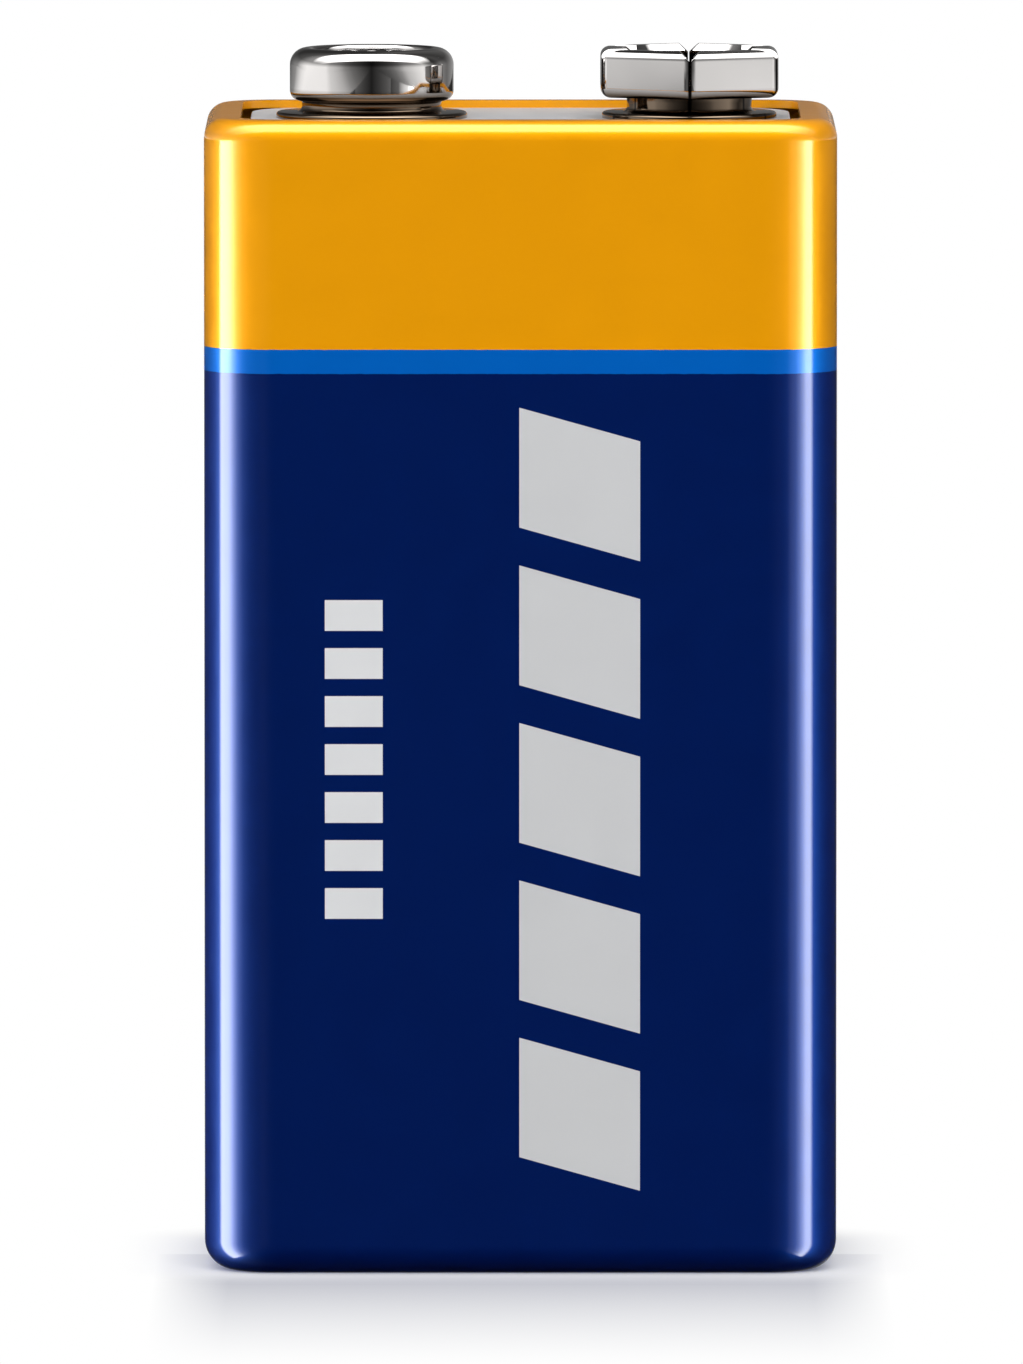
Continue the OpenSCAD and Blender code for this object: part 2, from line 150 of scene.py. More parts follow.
def turned(name, profile, x, z, around=144):
    # a turned piece: a circle, extruded ring by ring along a closed profile of radius and height
    clearSelection()
    radius, height = profile[0]
    bpy.ops.mesh.primitive_circle_add(vertices=around, radius=radius * mm, location=(x * mm, 0, (z + height) * mm))
    piece = bpy.context.object
    piece.name = piece.data.name = name
    bpy.ops.object.transform_apply(location=True, rotation=True, scale=True)
    bpy.ops.object.mode_set(mode="EDIT")
    bpy.ops.mesh.select_mode(type="EDGE")
    bpy.ops.mesh.select_all(action="SELECT")
    for nextRadius, nextHeight in profile[1:] + profile[:1]:
        bpy.ops.mesh.extrude_region_move(TRANSFORM_OT_translate={"value": (0, 0, (nextHeight - height) * mm)})
        share = nextRadius / radius
        bpy.ops.transform.resize(value=(share, share, 1), center_override=(x * mm, 0, (z + nextHeight) * mm))
        radius, height = nextRadius, nextHeight
    bpy.ops.mesh.select_all(action="SELECT")
    bpy.ops.mesh.remove_doubles(threshold=0.0005 * mm)
    bpy.ops.object.mode_set(mode="OBJECT")
    return piece


# Materials

def sRGB(red, green, blue):
    def toLinear(v):
        v = v / 255
        return v / 12.92 if v <= 0.04045 else ((v + 0.055) / 1.055) ** 2.4
    return (toLinear(red), toLinear(green), toLinear(blue), 1)


class Nodes:
    # a few short words for building a node tree
    def __init__(self, material):
        material.use_nodes = True
        self.tree = material.node_tree
        self.shader = self.tree.nodes.get("Principled BSDF") or self.tree.nodes.get("Background")

    def add(self, kind, inputs=None, **values):
        node = self.tree.nodes.new(kind)
        for key, value in values.items():
            setattr(node, key, value)
        for key, value in (inputs or {}).items():
            if isinstance(value, bpy.types.NodeSocket):
                self.tree.links.new(value, node.inputs[key])
            else:
                node.inputs[key].default_value = value
        return node

    def math(self, operation, a, b=0.0, c=0.0):
        return self.add("ShaderNodeMath", {0: a, 1: b, 2: c}, operation=operation).outputs[0]

    def mix(self, share, a, b):
        node = self.add("ShaderNodeMix", {0: share, 6: a, 7: b}, data_type="RGBA")
        return node.outputs[2]

    def grain(self, place, scale, detail=3, rough=0.5):
        return self.add("ShaderNodeTexNoise", {"Vector": place, "Scale": scale, "Detail": detail, "Roughness": rough})

    def between(self, value, low, high, newLow, newHigh):
        spread = {"Value": value, "From Min": low, "From Max": high, "To Min": newLow, "To Max": newHigh}
        return self.add("ShaderNodeMapRange", spread).outputs[0]

    def link(self, value, socket):
        self.tree.links.new(value, self.shader.inputs[socket])

    def bump(self, height, strength, depth):
        node = self.add("ShaderNodeBump", {"Height": height, "Strength": strength, "Distance": depth * mm})
        self.link(node.outputs[0], "Normal")
        return node


def newMaterial(name, **values):
    material = bpy.data.materials.new(name)
    nodes = Nodes(material)
    for key, value in values.items():
        nodes.shader.inputs[key.replace("_", " ")].default_value = value
    nodes.place = nodes.add("ShaderNodeTexCoord").outputs["Object"]
    return material, nodes


printed = dict(
    orange=sRGB(250, 163, 0),
    blue=sRGB(0, 98, 198),
    navy=sRGB(0, 18, 82),
    silver=sRGB(222, 223, 225),
    white=sRGB(240, 241, 243),
    orangeGloss=(1.0, 0.9, 0.06, 1),  # what each ink lets the soft part of the gloss keep
    blueGloss=(0.0, 0.4, 1.0, 1),
    navyGloss=(0.0, 0.22, 1.0, 1),
    barGloss=(0.9, 0.9, 0.9, 1),
    orangeDown=jacketHigh[2] - 9.08,   # height of the orange band's lower edge
    stripe=0.96,
    barColumn=[2.35, 4.8],         # middle and width, the broad bars on the front
    barRows=[3.3, 34.7, 5],        # lowest, highest, how many
    tickColumn=[-6.63, 2.3],       # the same for the narrow bars
    tickRows=[13.9, 27.3, 7],
)


def barMask(nodes, x, z, column, rows, gap, slant):
    # 1 inside a stack of slanted bars, 0 outside
    low, high, count = rows
    pitch = (high - low) / count
    row = nodes.math("MODULO", nodes.math("SUBTRACT", z, low), pitch)
    lean = nodes.math("MULTIPLY", nodes.math("SUBTRACT", x, column[0]), slant)
    inStack = nodes.math("ABSOLUTE", nodes.math("SUBTRACT", z, (low + high) / 2))
    inStack = nodes.math("LESS_THAN", inStack, (high - low) / 2)
    across = nodes.math("LESS_THAN", nodes.math("ABSOLUTE", nodes.math("SUBTRACT", x, column[0])), column[1] / 2)
    along = nodes.math("ABSOLUTE", nodes.math("ADD", nodes.math("SUBTRACT", row, pitch / 2), lean))
    along = nodes.math("LESS_THAN", along, pitch / 2 * (1 - gap))
    return nodes.math("MULTIPLY", nodes.math("MULTIPLY", inStack, across), along)


def makeLacqueredPrint():
    material, nodes = newMaterial("lacqueredPrint", Metallic=0.22, Specular_IOR_Level=1.0, Coat_Weight=0.8,
                                  Coat_Roughness=0.04)
    parts = nodes.add("ShaderNodeSeparateXYZ", {"Vector": nodes.place})
    x = nodes.math("DIVIDE", parts.outputs[0], mm)
    y = parts.outputs[1]
    z = nodes.math("DIVIDE", parts.outputs[2], mm)
    waver = nodes.between(nodes.grain(nodes.place, 2600).outputs[0], 0, 1, -0.02, 0.02)
    edge = nodes.math("ADD", z, waver)
    isOrange = nodes.math("GREATER_THAN", edge, printed["orangeDown"])
    isStripe = nodes.math("GREATER_THAN", edge, printed["orangeDown"] - printed["stripe"])
    colour = nodes.mix(isStripe, printed["navy"], printed["blue"])
    colour = nodes.mix(isOrange, colour, printed["orange"])
    gloss = nodes.mix(isStripe, printed["navyGloss"], printed["blueGloss"])
    gloss = nodes.mix(isOrange, gloss, printed["orangeGloss"])
    front = nodes.math("LESS_THAN", y, 0.0)
    for column, rows, gap, slant, ink in (
            (printed["barColumn"], printed["barRows"], 0.24, 0.28, printed["silver"]),
            (printed["tickColumn"], printed["tickRows"], 0.36, 0.0, printed["white"])):
        mask = nodes.math("MULTIPLY", barMask(nodes, x, z, column, rows, gap, slant), front)
        colour = nodes.mix(mask, colour, ink)
        gloss = nodes.mix(mask, gloss, printed["barGloss"])
    cloud = nodes.between(nodes.grain(nodes.place, 90, 4).outputs[0], 0.3, 0.7, 0.97, 1.0)
    colour = nodes.add("ShaderNodeVectorMath", {0: colour, "Scale": cloud}, operation="SCALE").outputs[0]
    nodes.link(colour, "Base Color")
    nodes.link(gloss, "Specular Tint")
    nodes.link(nodes.between(nodes.grain(nodes.place, 700).outputs[0], 0.3, 0.7, 0.38, 0.44), "Roughness")
    nodes.bump(nodes.grain(nodes.place, 450, 2).outputs[0], 0.02, 0.05)
    return material


def hexDistance(nodes, x, y):
    # distance from the axis of a hexagon with two of its flats across X, measured square to the nearest flat
    farthest = nodes.math("ABSOLUTE", x)
    for lean in (math.sqrt(0.75), -math.sqrt(0.75)):
        across = nodes.math("ADD", nodes.math("MULTIPLY", x, 0.5), nodes.math("MULTIPLY", y, lean))
        farthest = nodes.math("MAXIMUM", farthest, nodes.math("ABSOLUTE", across))
    return farthest


def cornerDistance(nodes, x, y):
    # distance from the nearest of the three lines that join the opposite corners of the same hexagon
    nearest = nodes.math("ABSOLUTE", x)
    for lean in (math.sqrt(0.75), -math.sqrt(0.75)):
        off = nodes.math("ADD", nodes.math("MULTIPLY", x, 0.5), nodes.math("MULTIPLY", y, lean))
        nearest = nodes.math("MINIMUM", nearest, nodes.math("ABSOLUTE", off))
    return nearest


def makePlatedSteel(name, colour, roughness, scratch, paintedShadeTop=None, cup=None):
    # bright plating: fine drawn lines round the piece and a little unevenness; painted shade below a height, and
    # inside a hexagonal cup that is given as its axis, the reach of its inner wall and the height of its mouth; painted
    # shade in its slits
    material, nodes = newMaterial(name, Metallic=1.0, Base_Color=colour)
    stretched = nodes.add("ShaderNodeMapping", {"Vector": nodes.place, "Scale": (1, 1, 14)}).outputs[0]
    lines = nodes.grain(stretched, 900, 3).outputs[0]
    patches = nodes.grain(nodes.place, 260, 2).outputs[0]
    tone = nodes.mix(nodes.between(patches, 0.35, 0.65, 0, 0.12), colour, sRGB(120, 120, 124))
    if paintedShadeTop:
        parts = nodes.add("ShaderNodeSeparateXYZ", {"Vector": nodes.place})
        x, y, height = (nodes.math("DIVIDE", part, mm) for part in parts.outputs)
        # painted shade below this height, on the neck and flange that lie in shade under the cap
        paintedShadeShare = nodes.between(height, paintedShadeTop, paintedShadeTop + 0.3, 1, 0)
        if cup:
            offset = nodes.math("SUBTRACT", x, cup["axis"])
            # painted shade inside the cup, below its mouth
            inside = nodes.math("LESS_THAN", hexDistance(nodes, offset, y), cup["reach"])
            deep = nodes.between(height, cup["mouth"] - 0.5, cup["mouth"] - 0.4, 1, 0)
            paintedShadeShare = nodes.math("MAXIMUM", paintedShadeShare, nodes.math("MULTIPLY", inside, deep))
            # painted shade along the slits at the cup's corners
            slit = nodes.between(cornerDistance(nodes, offset, y), cup["slit"], cup["slit"] * 2, 1, 0)
        # the painted shade is laid over the plating's tone
        tone = nodes.mix(paintedShadeShare, tone, plating["paintedShade"])
        if cup:
            tone = nodes.mix(slit, tone, plating["slit"])
    nodes.link(tone, "Base Color")
    nodes.link(nodes.between(lines, 0.3, 0.7, roughness * 0.8, roughness * 1.3), "Roughness")
    nodes.bump(lines, scratch, 0.01)
    return material


def makeGrained(name, colour, dark, roughness, scale, depth, **values):
    # a matt stock such as board, plastic, card or mix, with its own grain
    material, nodes = newMaterial(name, **values)
    grain = nodes.grain(nodes.place, scale, 5, 0.6).outputs[0]
    nodes.link(nodes.mix(nodes.between(grain, 0.3, 0.7, 0, 1), dark, colour), "Base Color")
    nodes.link(nodes.between(grain, 0.3, 0.7, roughness * 0.85, roughness * 1.1), "Roughness")
    nodes.bump(grain, 0.3, depth)
    return material


# besides the bright plating: the near-black painted shade of the socket's slits, the brown painted shade laid low on
# the terminals and inside the socket's cup, and the heights over the board below which that brown lies
plating = dict(bright=sRGB(216, 213, 211), slit=sRGB(34, 28, 24), paintedShade=sRGB(112, 98, 84), studShadeTop=0.92, socketShadeTop=1.0)
# the socket's cup, and the width of the painted shade along its slits
socketCup = dict(axis=socketX, reach=3.42, mouth=socketHigh[2], slit=0.05)

finishes = dict(
    lacqueredPrint=makeLacqueredPrint(),
    polishedStud=makePlatedSteel("polishedStud", plating["bright"], 0.045, 0.004, boardTop + plating["studShadeTop"]),
    polishedSocket=makePlatedSteel("polishedSocket", plating["bright"], 0.06, 0.004, boardTop + plating["socketShadeTop"],
                                   socketCup),
    tinPlate=makePlatedSteel("tinPlate", sRGB(190, 190, 188), 0.28, 0.2),
    weldedStrip=makePlatedSteel("weldedStrip", sRGB(205, 203, 196), 0.25, 0.2),
    canSteel=makePlatedSteel("canSteel", sRGB(180, 182, 186), 0.3, 0.2),
    pinBrass=makePlatedSteel("pinBrass", sRGB(214, 176, 96), 0.25, 0.1),
    greyBoard=makeGrained("greyBoard", sRGB(196, 196, 197), sRGB(184, 184, 186), 0.4, 1500, 0.02),
    blackMoulding=makeGrained("blackMoulding", sRGB(22, 22, 24), sRGB(14, 14, 15), 0.45, 2200, 0.02),
    insulatingCard=makeGrained("insulatingCard", sRGB(186, 170, 138), sRGB(160, 143, 110), 0.85, 1800, 0.03),
    cellFilm=makeGrained("cellFilm", sRGB(215, 217, 220), sRGB(200, 203, 208), 0.25, 500, 0.01, Alpha=1.0),
    cathodeMix=makeGrained("cathodeMix", sRGB(48, 47, 46), sRGB(26, 26, 27), 0.9, 2600, 0.05),
    separatorPaper=makeGrained("separatorPaper", sRGB(232, 226, 212), sRGB(214, 206, 188), 0.9, 2400, 0.03),
    anodeGel=makeGrained("anodeGel", sRGB(118, 122, 128), sRGB(78, 82, 90), 0.35, 2400, 0.06),
    sealNylon=makeGrained("sealNylon", sRGB(226, 226, 222), sRGB(212, 212, 207), 0.5, 1600, 0.02),
)

nodeFinishes = dict(
    base_plate="tinPlate", bottom_card="insulatingCard", top_card="insulatingCard", cell_wrap="cellFilm",
    top_tray="blackMoulding", negative_eyelet="tinPlate", strip="weldedStrip", link="weldedStrip",
    can="canSteel", cathode="cathodeMix", separator="separatorPaper", anode="anodeGel", pin="pinBrass",
    seal="sealNylon", cap="tinPlate",
)
for nodeName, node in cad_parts.items():
    words = nodeName.split("_")
    finish = nodeFinishes.get(nodeName) or nodeFinishes.get(words[-1]) or nodeFinishes.get(words[0])
    if finish:
        for place in range(max(1, len(node.material_slots))):
            if not node.material_slots:
                node.data.materials.append(finishes[finish])
            else:
                node.material_slots[place].material = finishes[finish]
print("finishes made:", len(finishes))


# Jacket: one sheet of printed steel, curled in at both ends, lapped down the back
jacketSizes = dict(cornerRadius=2.8, sheet=0.3, rimRadius=0.8, rimReach=1.45, footRadius=1.2, footReach=2.2,
                   seamWidth=0.15, seamDepth=0.1)


def makeJacket():
    size = jacketSizes
    piece = block("jacketSheet", jacketLow, jacketHigh)
    pick(isUpright, "EDGE")
    bpy.ops.mesh.bevel(offset=size["cornerRadius"] * mm, segments=24, affect="EDGES", offset_type="OFFSET")
    for height, radius, reach in ((jacketHigh[2], size["rimRadius"], size["rimReach"]),
                                  (jacketLow[2], size["footRadius"], size["footReach"])):
        pick(lambda e: abs(e.verts[0].co.z / mm - height) < 0.001 and abs(e.verts[1].co.z / mm - height) < 0.001, "EDGE")
        bpy.ops.mesh.bevel(offset=radius * mm, segments=12, affect="EDGES", offset_type="OFFSET")
        pick(lambda f: abs(f.normal.z) > 0.999 and abs(f.calc_center_median().z / mm - height) < 0.001)
        bpy.ops.mesh.inset(thickness=(reach - radius) * mm)
        bpy.ops.mesh.delete(type="FACE")
    pick(lambda f: f.normal.y > 0.999)
    seam = size["seamWidth"] / 2 * mm
    for side in (-1, 1):
        pick(lambda f: f.normal.y > 0.999)
        bpy.ops.mesh.bisect(plane_co=(side * seam, 0, 0), plane_no=(1, 0, 0))
    pick(lambda f: f.normal.y > 0.999 and abs(f.calc_center_median().x) < seam)
    bpy.ops.mesh.extrude_region_move(TRANSFORM_OT_translate={"value": (0, -size["seamDepth"] * mm, 0)})
    bpy.ops.object.mode_set(mode="OBJECT")
    addModifier(piece, "SOLIDIFY", thickness=size["sheet"] * mm, offset=-1)
    applyAll(piece)
    finishPiece(piece, finishes["lacqueredPrint"], 25, ["jacket"])


makeJacket()
print("jacket made")


# Terminal board: grey, held under the rim, drilled for the two eyelets
boardSizes = dict(cornerRadius=3.2, edge=0.08, hole=2.2)


def makeBoard():
    size = boardSizes
    piece = block("greyTerminalBoard", boardLow, boardHigh)
    pick(isUpright, "EDGE")
    bpy.ops.mesh.bevel(offset=size["cornerRadius"] * mm, segments=20, affect="EDGES", offset_type="OFFSET")
    pick(lambda e: abs(e.verts[0].co.z - e.verts[1].co.z) < 0.001 * mm, "EDGE")
    bpy.ops.mesh.bevel(offset=size["edge"] * mm, segments=3, affect="EDGES", offset_type="OFFSET")
    bpy.ops.object.mode_set(mode="OBJECT")
    for x in (studX, socketX):
        clearSelection()
        bpy.ops.mesh.primitive_cylinder_add(vertices=48, radius=size["hole"] / 2 * mm, depth=4 * mm,
                                            location=(x * mm, 0, boardTop * mm))
        carve(piece, bpy.context.object)
    finishPiece(piece, finishes["greyBoard"], 30, ["terminal_board"])


makeBoard()
print("terminal board made")


# Positive stud: a drawn cup with a rolled lip, dished for its eyelet
studSizes = dict(cap=6.55, neck=5.6, flange=7.65, neckHeight=0.68, under=0.42, height=2.8, dish=4.75, dishDepth=0.9,
                 sheet=0.25, sweep=0.22, shoulder=0.68)


def makeStud():
    s = studSizes
    cap, neck, flange, dish, t = s["cap"] / 2, s["neck"] / 2, s["flange"] / 2, s["dish"] / 2, s["sheet"]
    shoulder = s["shoulder"]
    roll = cap - dish - shoulder
    floor = s["height"] - s["dishDepth"]
    sweep = s["sweep"]
    outer = [(flange, 0.0)] + arc((flange - t / 2, t / 2), t / 2, 0, 90, 6)
    outer += arc((neck + sweep, t + sweep), sweep, 270, 180, 6)
    outer += [(neck, s["neckHeight"] - 0.06)] + arc((neck + 0.06, s["neckHeight"] - 0.06), 0.06, 180, 90, 3)
    outer += arc((cap - s["under"], s["neckHeight"] + s["under"]), s["under"], 270, 360, 10)
    outer += arc((cap - shoulder, s["height"] - shoulder), shoulder, 0, 90, 18)
    outer += arc((dish + roll, s["height"] - roll), roll, 90, 180, 8)[1:]
    outer += arc((dish - t, floor + t), t, 0, -90, 6)
    outer += [(1.15, floor)]
    inner = [(1.15, floor - t)] + arc((dish - t, floor), t, -90, 0, 4)[:-1]
    inner += [(dish + t, s["height"] - t - 0.1)] + arc((cap - shoulder, s["height"] - shoulder), shoulder - t, 90, 0, 8)
    inner += [(cap - t, s["neckHeight"] + 2 * t), (neck - t, s["neckHeight"] + t), (neck - t, 0.0)]
    piece = turned("positiveStud", outer + inner, studX, boardTop)
    finishPiece(piece, finishes["polishedStud"], 40, ["positive_stud"])


makeStud()
print("positive stud made")


# Eyelets: a rolled head, a barrel through the board and a flare under it
eyeletSizes = dict(barrel=2.1, bore=1.0, head=2.9, flare=3.1, flareHeight=0.3, tail=-0.95)


def makeEyelet(name, node, x, seat, top, material):
    s = eyeletSizes
    bore, head, barrel, flare = s["bore"] / 2, s["head"] / 2, s["barrel"] / 2, s["flare"] / 2
    roll = min(top - seat, head - bore) * 0.42
    low = s["tail"] - s["flareHeight"]
    profile = [(barrel, seat), (head, seat)] + arc((head - roll, top - roll), roll, 0, 90, 8)
    profile += arc((bore + roll, top - roll), roll, 90, 180, 8)
    profile += [(bore, low), (flare - 0.15, low)] + arc((flare - 0.15, low + 0.15), 0.15, -90, 0, 4)
    profile += [(flare, s["tail"]), (barrel, s["tail"])]
    piece = turned(name, profile, x, boardTop, 96)
    finishPiece(piece, material, 40, [node])


makeEyelet("studEyelet", "positive_eyelet", studX, 1.9, 2.7, finishes["polishedStud"])
makeEyelet("socketEyelet", "negative_eyelet", socketX, 0.25, 0.65, finishes["polishedSocket"])
print("eyelets made")


# Negative socket: a hexagonal cup cut into six petals, on a round neck and flange
socketSizes = dict(acrossFlats=7.1, edge=0.5, turnIn=0.4, neck=5.0, neckHeight=0.88, flange=7.0, height=2.8,
                   sheet=0.25, mouth=5.0, flare=0.8, slit=0.05, relief=2.95, notch=0.8, rounding=0.11, seat=0.05)


def cutterBlock(low, high, turn, tilt=0):
    piece = block("cutter", low, high)
    bpy.ops.object.mode_set(mode="OBJECT")
    middle = Vector(((low[0] + high[0]) / 2, (low[1] + high[1]) / 2, (low[2] + high[2]) / 2)) * mm
    bpy.ops.object.mode_set(mode="EDIT")
    bpy.ops.mesh.select_all(action="SELECT")
    if tilt:
        bpy.ops.transform.rotate(value=math.radians(tilt), orient_axis="X", center_override=middle)
    bpy.ops.transform.rotate(value=math.radians(turn), orient_axis="Z", center_override=(socketX * mm, 0, 0))
    bpy.ops.object.mode_set(mode="OBJECT")
    return piece


def makeSocket():
    s = socketSizes
    t = s["sheet"]
    low, high = boardTop + s["neckHeight"], boardTop + s["height"]
    clearSelection()
    bpy.ops.mesh.primitive_cylinder_add(vertices=6, radius=s["acrossFlats"] / 2 / math.cos(math.pi / 6) * mm,
                                        depth=(high - low) * mm, location=(socketX * mm, 0, (low + high) / 2 * mm))
    piece = bpy.context.object
    piece.name = piece.data.name = "negativeSocket"
    bpy.ops.object.transform_apply(location=True, rotation=True, scale=True)
    bpy.ops.object.mode_set(mode="EDIT")
    pick(isUpright, "EDGE")
    bpy.ops.mesh.bevel(offset=s["edge"] * math.tan(math.pi / 6) * mm, segments=10, affect="EDGES", offset_type="OFFSET")
    pick(lambda e: abs(e.verts[0].co.z - e.verts[1].co.z) < 0.001 * mm, "EDGE")
    bpy.ops.mesh.bevel(offset=s["turnIn"] * mm, segments=8, affect="EDGES", offset_type="OFFSET")
    bpy.ops.object.mode_set(mode="OBJECT")
    addModifier(piece, "SOLIDIFY", thickness=t * mm, offset=-1)
    applyAll(piece)
    clearSelection()
    bpy.ops.mesh.primitive_cylinder_add(vertices=96, radius=s["mouth"] / 2 * mm, depth=2 * mm,
                                        location=(socketX * mm, 0, high * mm))
    carve(piece, bpy.context.object)
    clearSelection()
    bpy.ops.mesh.primitive_cylinder_add(vertices=96, radius=(s["neck"] / 2 - t - s["seat"]) * mm, depth=2 * t * mm,
                                        location=(socketX * mm, 0, (low + t / 2) * mm))
    carve(piece, bpy.context.object)
    clearSelection()
    spread = t * s["flare"]
    bpy.ops.mesh.primitive_cone_add(vertices=96, radius1=s["mouth"] / 2 * mm, radius2=(s["mouth"] / 2 + 2 * spread) * mm,
                                    depth=2 * t * mm, location=(socketX * mm, 0, high * mm))
    carve(piece, bpy.context.object)
    reach = s["acrossFlats"]
    for turn in range(30, 390, 60):
        x0 = socketX + s["relief"]
        carve(piece, cutterBlock([x0, -s["slit"] / 2, low - 1], [x0 + reach, s["slit"] / 2, high + 1], turn))
        x1 = socketX + 2.2
        carve(piece, cutterBlock([x1, -s["slit"] / 2, low + t], [x1 + reach, s["slit"] / 2, high + 1], turn))
        side = s["notch"] / math.sqrt(2) / 2
        carve(piece, cutterBlock([x1, -side, high - side], [x1 + reach, side, high + side], turn, 45))
    profile = [(1.15, 0.0), (s["flange"] / 2, 0.0)] + arc((s["flange"] / 2 - t / 2, t / 2), t / 2, 0, 90, 6)
    neck = s["neck"] / 2
    profile += arc((neck + 0.2, t + 0.2), 0.2, 270, 180, 6) + [(neck, s["neckHeight"] + 0.1)]
    profile += [(neck - t, s["neckHeight"] + 0.1), (neck - t, t), (1.15, t)]
    foot = turned("socketFoot", profile, socketX, boardTop)
    carve(piece, foot, "UNION")
    addModifier(piece, "BEVEL", width=s["rounding"] * mm, segments=3, limit_method="ANGLE", angle_limit=math.radians(50))
    applyAll(piece)
    finishPiece(piece, finishes["polishedSocket"], 35, ["negative_socket"])


makeSocket()
print("negative socket made")


# Studio: pale floor, white background, and a room that the gloss reflects: dark behind the camera, a tall
# soft light on each side and one overhead
studio = dict(
    # floor: its white, the bounce it gives, its roughness, its contact fade, and the fade and tint of a painted
    # reflection
    floorWhite=0.92, floorBounce=0.1, floorRough=0.6, contactFade=6, paintedReflectionFade=36, paintedReflectionTint=(0.5, 0.51, 0.57, 1),
    wash=1.0, washAbove=0.6, panel=1.7, top=0.2,
    overheadFrom=48, overheadTo=110, overheadLight=6.5, darkBelow=[-0.2, -0.5], darkAbove=[0.03, 0.35],
    panelAway=70, panelHeights=[-60, 42.3], ledgeDown=0.9, ledgeFrom=13.6,
    leftPanel=[(-150, 0.06), (-108, 0.08), (-70, 0.14), (-51, 0.4), (-37, 1.8), (-28, 6.0), (-21, 12.0), (-16, 15.0),
               (0, 15.0), (4, 4.0), (7, 0.15), (20, 0.03), (230, 0.03)],
    rightPanel=[(-150, 0.06), (-97, 0.16), (-60, 1.2), (-48, 3.4), (-38, 8.0), (-32, 13.0), (-22, 14.0), (-18, 6.0),
                (-15, 0.4), (-10, 0.03), (230, 0.03)],
    room=[(-180, 0.12), (-158, 0.12), (-130, 0.35), (-112, 1.1), (-104, 1.3), (-68, 1.2), (-62, 0.9), (-56, 0.8),
          (-47, 0.6), (-38, 0.33), (-29, 0.19), (-20, 0.12), (-11, 0.065), (0, 0.018), (11, 0.06),
          (21, 0.115), (30, 0.2), (39, 0.36), (48, 0.7), (57, 0.85), (65, 1.0), (78, 1.2), (89, 0.5), (102, 0.12),
          (116, 0.3), (134, 0.18), (168, 0.4), (180, 0.12)],
)


def softPanel(name, place, towards, width, height, power):
    light = bpy.data.lights.new(name, "AREA")
    light.shape = "RECTANGLE"
    light.size, light.size_y, light.energy = width * mm, height * mm, power
    lamp = bpy.data.objects.new(name, light)
    bpy.context.scene.collection.objects.link(lamp)
    lamp.location = Vector(place) * mm
    lamp.rotation_euler = (Vector(towards) * mm - lamp.location).to_track_quat("-Z", "Y").to_euler()
    lamp.visible_camera = lamp.visible_glossy = False
    return lamp


def roomLight(nodes, x, y):
    # the room's light by the angle round from the camera's side
    turn = nodes.math("ARCTAN2", x, nodes.math("MULTIPLY", y, -1.0))
    turn = nodes.between(turn, -math.pi, math.pi, 0, 1)
    ramp = nodes.add("ShaderNodeValToRGB", {"Fac": turn})
    stops = studio["room"]
    for place, level in stops[2:]:
        ramp.color_ramp.elements.new(0.5)
    for stop, (place, level) in zip(ramp.color_ramp.elements, stops):
        stop.position, stop.color = (place + 180) / 360, (level, level, level, 1)
    return ramp.outputs[0]


def makeRoom():
    scene = bpy.context.scene
    world = scene.world or bpy.data.worlds.new("studioRoom")
    scene.world = world
    world.cycles.sampling_method = "NONE"      # so that each kind of ray sees its own room
    nodes = Nodes(world)
    rays = nodes.add("ShaderNodeLightPath")
    way = nodes.add("ShaderNodeTexCoord").outputs["Generated"]
    parts = nodes.add("ShaderNodeSeparateXYZ", {"Vector": way})
    below = nodes.between(parts.outputs[2], studio["darkBelow"][1], studio["darkBelow"][0], 0.04, 1)
    higher = nodes.between(parts.outputs[2], studio["darkAbove"][0], studio["darkAbove"][1], 1, 0.3)
    around = roomLight(nodes, parts.outputs[0], parts.outputs[1])
    room = nodes.mix(nodes.math("MULTIPLY", below, higher), (0, 0, 0, 1), around)
    # angle up from the camera's side, over the top and down at the back
    climb = nodes.math("ARCTAN2", parts.outputs[2], nodes.math("MULTIPLY", parts.outputs[1], -1.0))
    climb = nodes.math("DEGREES", climb)
    rise = nodes.between(climb, studio["overheadFrom"], studio["overheadFrom"] + 10, 0, 1)
    fall = nodes.between(climb, studio["overheadTo"] - 12, studio["overheadTo"], 1, 0)
    width = nodes.between(nodes.math("ABSOLUTE", parts.outputs[0]), 0.35, 0.95, 1, 0)
    overhead = nodes.math("MULTIPLY", nodes.math("MULTIPLY", rise, fall), width)
    above = (studio["overheadLight"],) * 3 + (1,)
    reflected = nodes.mix(overhead, room, above)
    wash = nodes.between(parts.outputs[2], 0.25, 0.95, studio["wash"], studio["wash"] * studio["washAbove"])
    colour = nodes.mix(rays.outputs["Is Glossy Ray"], wash, reflected)
    shown = nodes.math("MAXIMUM", rays.outputs["Is Camera Ray"], rays.outputs["Is Transmission Ray"])
    nodes.link(nodes.mix(shown, colour, (1, 1, 1, 1)), "Color")


def stageForGloss(piece, material, nodes, light):
    # something that shines and that only the gloss sees
    glow = nodes.add("ShaderNodeEmission", {"Color": light, "Strength": 1.0}).outputs[0]
    nodes.tree.links.new(glow, nodes.tree.nodes["Material Output"].inputs["Surface"])
    piece.data.materials.append(material)
    piece.visible_camera = piece.visible_diffuse = piece.visible_transmission = piece.visible_shadow = False


def makeLedge(name, ends):
    # level with the jacket's rim and lit like the room, so that the terminals don't see the bright panel
    height = jacketHigh[2] - studio["ledgeDown"]
    front, back = studio["leftPanel"][0][0], studio["leftPanel"][-1][0]
    piece = block(name, [ends[0], front, height], [ends[1], back, height + 0.05])
    bpy.ops.object.mode_set(mode="OBJECT")
    material, nodes = newMaterial(name + "Glow")
    parts = nodes.add("ShaderNodeSeparateXYZ", {"Vector": nodes.place})
    stageForGloss(piece, material, nodes, roomLight(nodes, parts.outputs[0], parts.outputs[1]))


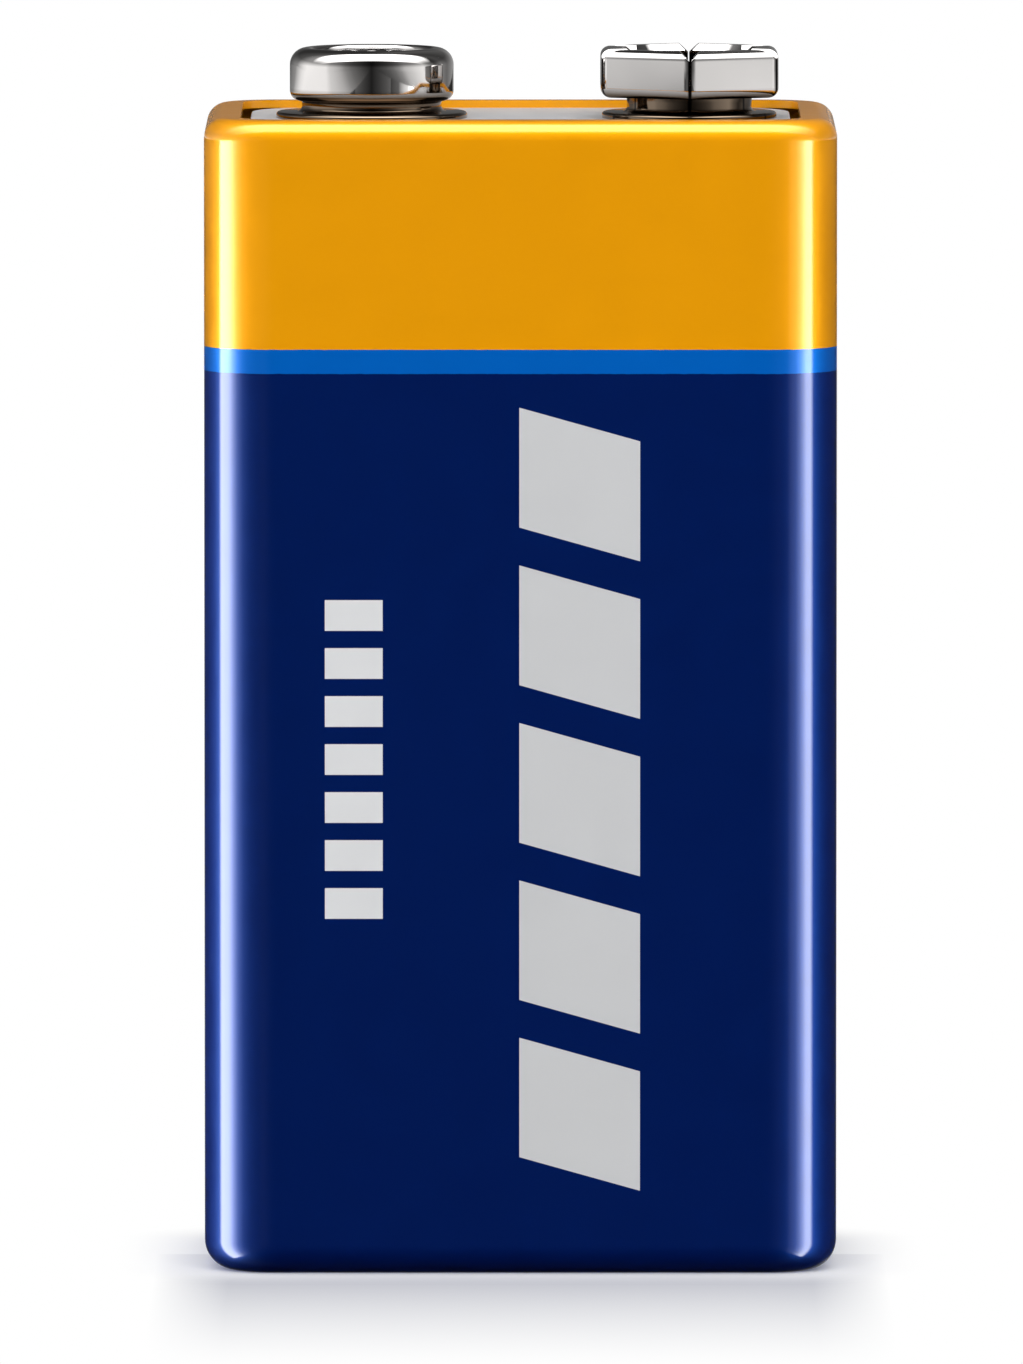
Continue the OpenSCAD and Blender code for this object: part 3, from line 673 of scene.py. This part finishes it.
def makeSidePanel(name, x, stops):
    # a bright panel graded from front to back, its top level with the jacket's rim
    low, high = studio["panelHeights"]
    front, back = stops[0][0], stops[-1][0]
    piece = block(name, [x, front, low], [x + 1, back, high])
    bpy.ops.object.mode_set(mode="OBJECT")
    material, nodes = newMaterial(name + "Glow")
    along = nodes.math("DIVIDE", nodes.add("ShaderNodeSeparateXYZ", {"Vector": nodes.place}).outputs[1], mm)
    ramp = nodes.add("ShaderNodeValToRGB", {"Fac": nodes.between(along, front, back, 0, 1)})
    for place, level in stops[2:]:
        ramp.color_ramp.elements.new(0.5)
    for stop, (place, level) in zip(ramp.color_ramp.elements, stops):
        stop.position, stop.color = (place - front) / (back - front), (level, level, level, 1)
    stageForGloss(piece, material, nodes, ramp.outputs[0])


def makeFloor():
    clearSelection()
    bpy.ops.mesh.primitive_plane_add(size=4, location=(0, 0, 0))
    floor = bpy.context.object
    floor.name = "studioFloor"
    floor.visible_glossy = False
    bpy.ops.object.transform_apply(location=True, rotation=True, scale=True)
    material, nodes = newMaterial("paleFloor", Roughness=studio["floorRough"], Specular_IOR_Level=0.0)
    parts = nodes.add("ShaderNodeSeparateXYZ", {"Vector": nodes.place})
    x, y = (nodes.math("DIVIDE", part, mm) for part in parts.outputs[:2])
    away = 0.0
    for place, reach in ((x, jacketHigh[0]), (y, jacketHigh[1])):
        off = nodes.math("SUBTRACT", nodes.math("ABSOLUTE", place), reach - jacketSizes["footReach"])
        away = nodes.math("ADD", away, nodes.math("POWER", nodes.math("MAXIMUM", off, 0.0), 2.0))
    away = nodes.math("SQRT", away)
    bare = nodes.add("ShaderNodeMapRange", {"Value": away, "From Max": studio["contactFade"]},
                     interpolation_type="SMOOTHSTEP").outputs[0]
    # a painted reflection of the front: a faint bluish tint on the floor before the jacket, which fades towards the
    # camera
    paintedReflection = nodes.between(y, -jacketHigh[1] - studio["paintedReflectionFade"], -jacketHigh[1], 0, 1)
    paintedReflection = nodes.math("POWER", paintedReflection, 1.5)
    paintedReflection = nodes.math("MULTIPLY", paintedReflection, nodes.between(nodes.math("ABSOLUTE", x), jacketHigh[0] - 1, jacketHigh[0] + 2, 1, 0))
    paintedReflection = nodes.math("MULTIPLY", paintedReflection, nodes.math("LESS_THAN", y, 0.0))
    rays = nodes.add("ShaderNodeLightPath")
    white, bounce = ((studio[key],) * 3 + (1,) for key in ("floorWhite", "floorBounce"))
    nodes.link(nodes.mix(rays.outputs["Is Diffuse Ray"], white, bounce), "Base Color")
    bare = nodes.math("MULTIPLY", bare, rays.outputs["Is Camera Ray"])
    # the painted reflection tints the floor's white emission
    tint = nodes.mix(paintedReflection, (1, 1, 1, 1), studio["paintedReflectionTint"])
    blank = nodes.add("ShaderNodeEmission", {"Color": tint, "Strength": 1.0}).outputs[0]
    surface = nodes.add("ShaderNodeMixShader", {0: bare, 1: nodes.shader.outputs[0], 2: blank}).outputs[0]
    nodes.tree.links.new(surface, nodes.tree.nodes["Material Output"].inputs["Surface"])
    floor.data.materials.append(material)


makeRoom()
makeFloor()
makeSidePanel("leftSidePanel", -studio["panelAway"], studio["leftPanel"])
makeSidePanel("rightSidePanel", studio["panelAway"], studio["rightPanel"])
makeLedge("leftLedge", [-studio["panelAway"] + 0.1, -studio["ledgeFrom"]])
makeLedge("rightLedge", [studio["ledgeFrom"], studio["panelAway"] - 0.1])
softPanel("frontPanel", (0, -420, 300), (0, 0, 24), 500, 300, studio["panel"])
softPanel("topPanel", (0, 60, 420), (0, 0, 24), 420, 300, studio["top"])
bpy.context.scene.view_settings.view_transform = "Standard"
print("studio made")


# Camera, at the photograph's angle
lens = dict(place=(-0.36, -1008.4, 101.34), downTilt=4.44, focalPixels=25238, imageHeight=1364)


def makeCamera():
    data = bpy.data.cameras.new("studioCamera")
    data.sensor_width = 36
    data.lens = lens["focalPixels"] * data.sensor_width / lens["imageHeight"]
    data.clip_start, data.clip_end = 0.01, 20
    camera = bpy.data.objects.new("studioCamera", data)
    bpy.context.scene.collection.objects.link(camera)
    camera.location = Vector(lens["place"]) * mm
    camera.rotation_euler = (math.radians(90 - lens["downTilt"]), 0, 0)
    bpy.context.scene.camera = camera


makeCamera()
print("camera placed")
